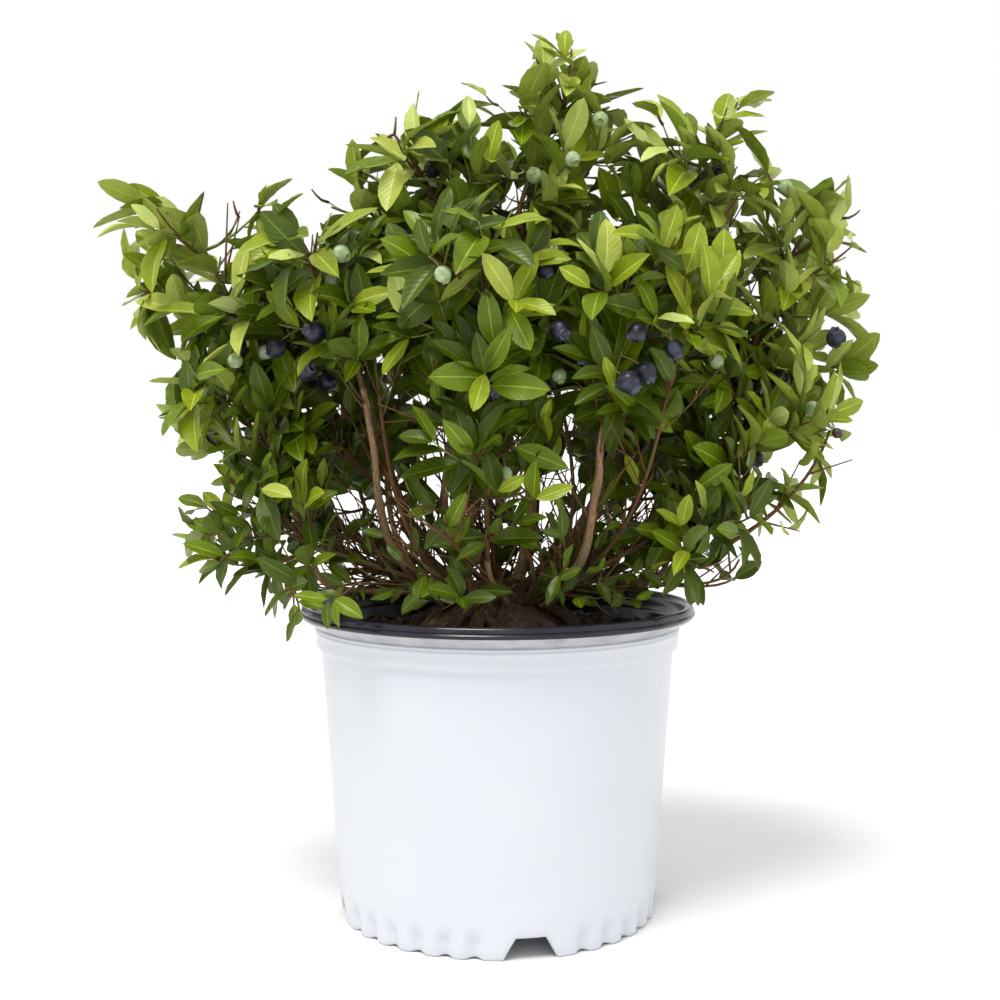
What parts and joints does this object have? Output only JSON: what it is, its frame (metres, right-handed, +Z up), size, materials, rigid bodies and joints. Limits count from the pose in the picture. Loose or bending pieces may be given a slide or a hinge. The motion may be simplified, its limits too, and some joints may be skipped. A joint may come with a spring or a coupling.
{
  "type": "blueberry bush in a pot",
  "caption": "Leafy blueberry bush with ripe and green berries, in a round white nursery pot with a black rim and drain notches.",
  "frame": {"origin": "centre of the pot's flat underside, on the surface that it stands on", "axes": "+Z up along the pot's axis, -Y towards the front, +X to the right seen from the front"},
  "size_m": [0.492, 0.3388, 0.5538],
  "materials": {
    "pot_white": "satin",
    "pot_black": "gloss",
    "mix": "matte",
    "bark": "matte",
    "foliage": "satin"
  },
  "bodies": {
    "root": {"pot": "pot_white", "potting_mix": "mix", "woody_crown": "bark", "stem_left": "bark", "stem_right": "bark", "stem_left_low": "bark", "stem_right_low": "bark", "stem_left_flank": "bark", "stem_right_flank": "bark", "stem_back_left": "bark", "stem_back_right": "bark", "stem_back": "bark", "stem_front": "bark", "stem_top_left": "bark", "stem_top": "bark", "stem_top_right": "bark", "shoot_front": "bark", "bough_left": "bark", "bough_right": "bark", "bough_heart": "bark", "bough_top_back": "bark", "bough_back_left": "bark", "bough_back_right": "bark", "foliage_upper_left": "foliage", "foliage_front_right": "foliage", "foliage_left_low": "foliage", "foliage_right_low": "foliage", "foliage_left_flank": "foliage", "foliage_right_flank": "foliage", "foliage_back_left": "foliage", "foliage_back_right": "foliage", "foliage_back_centre": "foliage", "foliage_front_centre": "foliage", "foliage_top_left": "foliage", "foliage_top_centre": "foliage", "foliage_top_right": "foliage", "foliage_front_shoots": "foliage", "foliage_left_shoulder": "foliage", "foliage_right_shoulder": "foliage", "foliage_heart": "foliage", "foliage_top_back": "foliage", "foliage_back_low_left": "foliage", "foliage_back_low_right": "foliage"}
  },
  "joints": []
}
